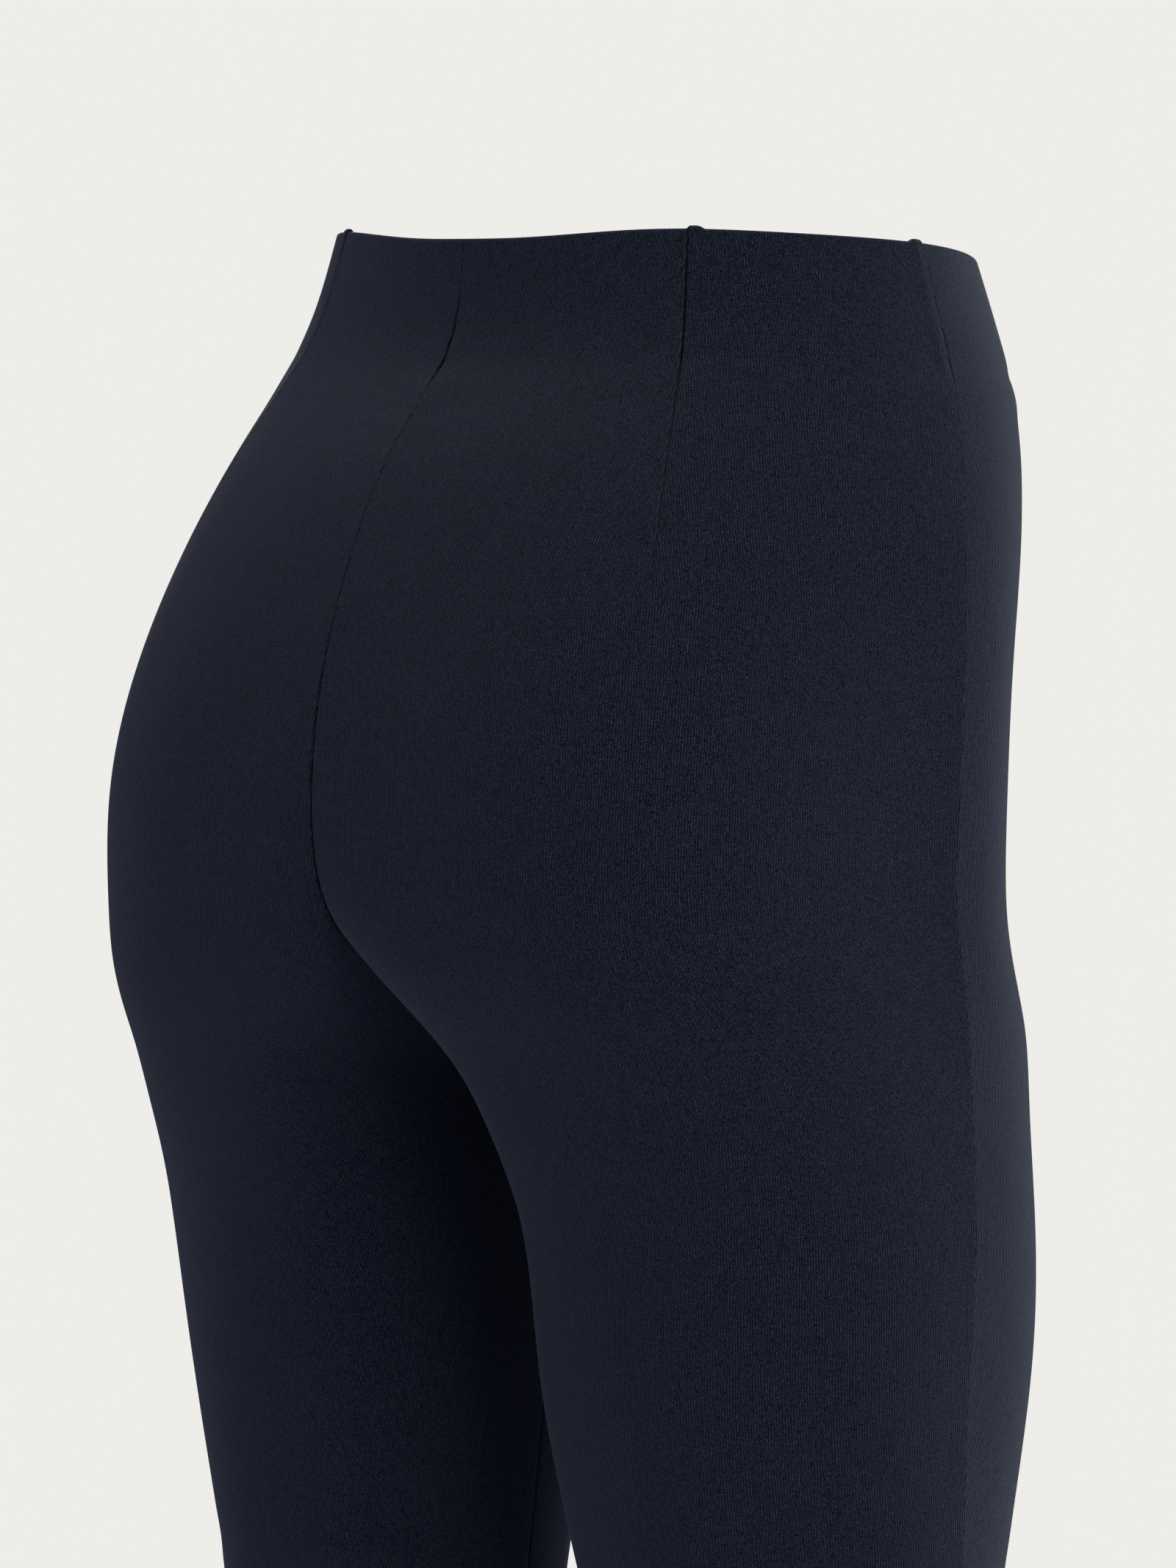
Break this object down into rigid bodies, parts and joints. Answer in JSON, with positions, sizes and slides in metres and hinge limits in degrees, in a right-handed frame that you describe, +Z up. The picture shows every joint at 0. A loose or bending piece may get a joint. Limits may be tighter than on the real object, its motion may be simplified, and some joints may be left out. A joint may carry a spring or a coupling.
{
  "type": "capri pants",
  "caption": "Slim high-waisted pull-on capri pants of stretch double knit, hollow and filled out as when worn, with long back waist darts and plain open hems.",
  "frame": {"origin": "middle of the waist opening, at the height of the waist edge's highest point, where the wearer holds the pants up", "axes": "+Z up, -Y to the front of the garment, +X to the wearer's left, with the legs hanging down along -Z"},
  "size_m": [0.3506, 0.2722, 0.8001],
  "materials": {
    "navy_knit": "matte dark navy double knit with fine vertical wales and a faint sheen at grazing angles"
  },
  "bodies": {
    "root": {"back_left": "navy_knit", "back_right": "navy_knit", "front_left": "navy_knit", "front_right": "navy_knit"}
  },
  "joints": []
}
